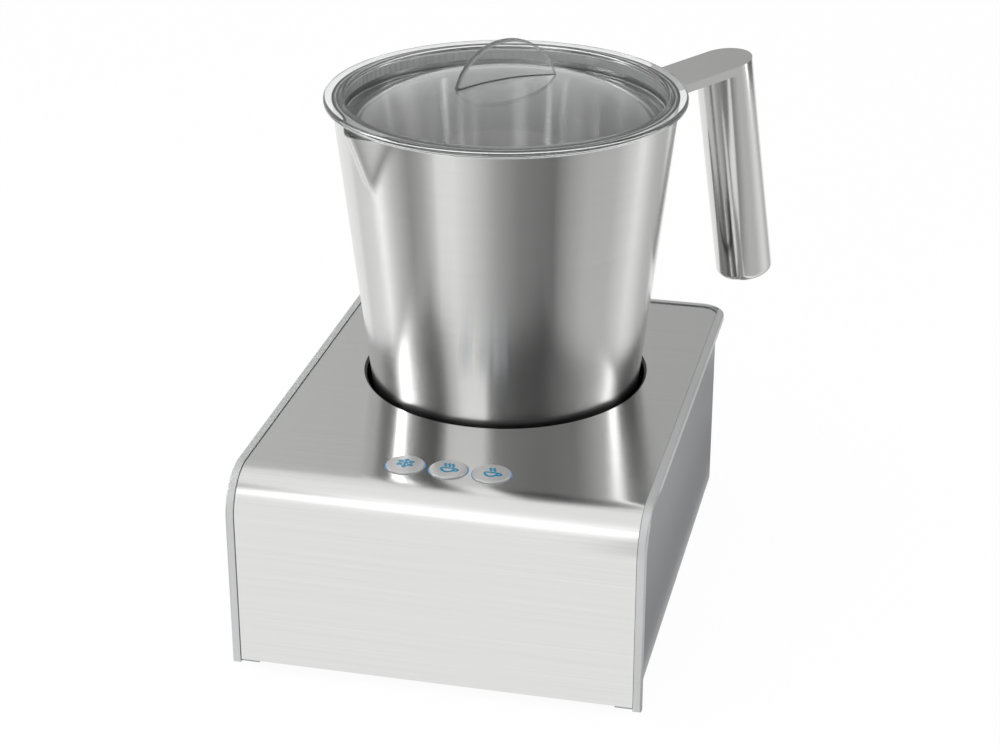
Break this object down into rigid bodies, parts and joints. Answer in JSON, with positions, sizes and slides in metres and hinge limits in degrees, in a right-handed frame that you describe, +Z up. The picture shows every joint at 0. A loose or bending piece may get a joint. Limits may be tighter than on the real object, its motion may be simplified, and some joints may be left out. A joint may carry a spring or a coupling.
{
  "type": "milk frother",
  "caption": "Countertop milk frother: steel-covered heating base with press buttons, and a lift-out tapered steel jug with pouring lip, handle, clear domed lid and magnet-driven whisk.",
  "frame": {"origin": "on the surface the feet stand on, under the middle of the whole outline, handle included", "axes": "+Z up; -Y to the front, where the buttons are; +X to the right seen from the front"},
  "size_m": [0.151, 0.1769, 0.1869],
  "materials": {
    "silver_plastic": "silver-painted moulded housing, satin",
    "brushed_steel": "brushed across the width",
    "dark_plastic": "moulded, fine grain",
    "black_plastic": "black moulded cup",
    "black_rubber": "soft rubber",
    "plated_steel": "bright zinc plate",
    "copper_wire": "enamelled copper wire, wound flat",
    "ferrite": "sintered ferrite",
    "sensor_metal": "metal-capped sensor",
    "pale_plastic": "natural moulded plastic",
    "magnet_plate": "nickel plate",
    "board_green": "circuit board with green mask",
    "blue_light": "blue light guide",
    "button_silver": "silver-painted cap with blue sign",
    "sink_aluminium": "extruded",
    "sleeve_plastic": "shrink sleeve",
    "choke_plastic": "taped bobbin",
    "jug_steel": "stainless, brushed round the jug",
    "whisk_plastic": "moulded",
    "clear_plastic": "clear, polished",
    "clear_silicone": "soft clear silicone"
  },
  "bodies": {
    "base": {"housing": "silver_plastic", "front_top_cover": "brushed_steel", "base_plate": "dark_plastic", "rubber_feet": "black_rubber", "base_screws": "plated_steel", "jug_well": "black_plastic", "well_legs": "dark_plastic", "coil_carrier": "dark_plastic", "carrier_screws": "plated_steel", "induction_coil": "copper_wire", "ferrite_bars": "ferrite", "heat_sensor": "sensor_metal", "motor": "plated_steel", "motor_bracket": "dark_plastic", "control_board": "board_green", "button_switches": "dark_plastic", "button_lights": "blue_light", "light_rings": "blue_light", "button_guide": "pale_plastic", "power_board": "board_green", "heat_sink": "sink_aluminium", "capacitors": "sleeve_plastic", "filter_choke": "choke_plastic", "cord_gland": "black_rubber"},
    "cold_froth_key": {"cold_froth_button": "button_silver"},
    "hot_froth_key": {"hot_froth_button": "button_silver"},
    "warm_milk_key": {"warm_milk_button": "button_silver"},
    "drive": {"drive_shaft": "plated_steel", "magnet_holder": "pale_plastic", "drive_magnets": "magnet_plate"},
    "jug": {"jug_shell": "jug_steel", "handle_arm": "jug_steel", "handle_grip": "jug_steel", "whisk_pin": "jug_steel"},
    "lid_body": {"lid": "clear_plastic", "lid_seal": "clear_silicone"},
    "whisk_body": {"whisk": "whisk_plastic", "whisk_magnet": "magnet_plate"}
  },
  "joints": [
    {"name": "cold_froth_press", "type": "slide", "parent": "base", "child": "cold_froth_key", "axis": [0, 0, -1], "range_m": [0, 0.0007], "stiffness_N_per_m": 900},
    {"name": "hot_froth_press", "type": "slide", "parent": "base", "child": "hot_froth_key", "axis": [0, 0, -1], "range_m": [0, 0.0007], "stiffness_N_per_m": 900},
    {"name": "warm_milk_press", "type": "slide", "parent": "base", "child": "warm_milk_key", "axis": [0, 0, -1], "range_m": [0, 0.0007], "stiffness_N_per_m": 900},
    {"name": "drive_spin", "type": "hinge", "parent": "base", "child": "drive", "pos_m": [-0.0082, 0.01433, 0.04], "axis": [0, 0, 1], "continuous": true},
    {"name": "jug_lift", "type": "slide", "parent": "base", "child": "jug", "axis": [0, 0, 1], "range_m": [0, 0.08]},
    {"name": "lid_lift", "type": "slide", "parent": "jug", "child": "lid_body", "axis": [0, 0, 1], "range_m": [0, 0.06]},
    {"name": "whisk_spin", "type": "hinge", "parent": "jug", "child": "whisk_body", "pos_m": [-0.0082, 0.01433, 0.05], "axis": [0, 0, 1], "continuous": true}
  ],
  "couplings": [
    {"joint": "whisk_spin", "follows": "drive_spin", "ratio": 1}
  ]
}
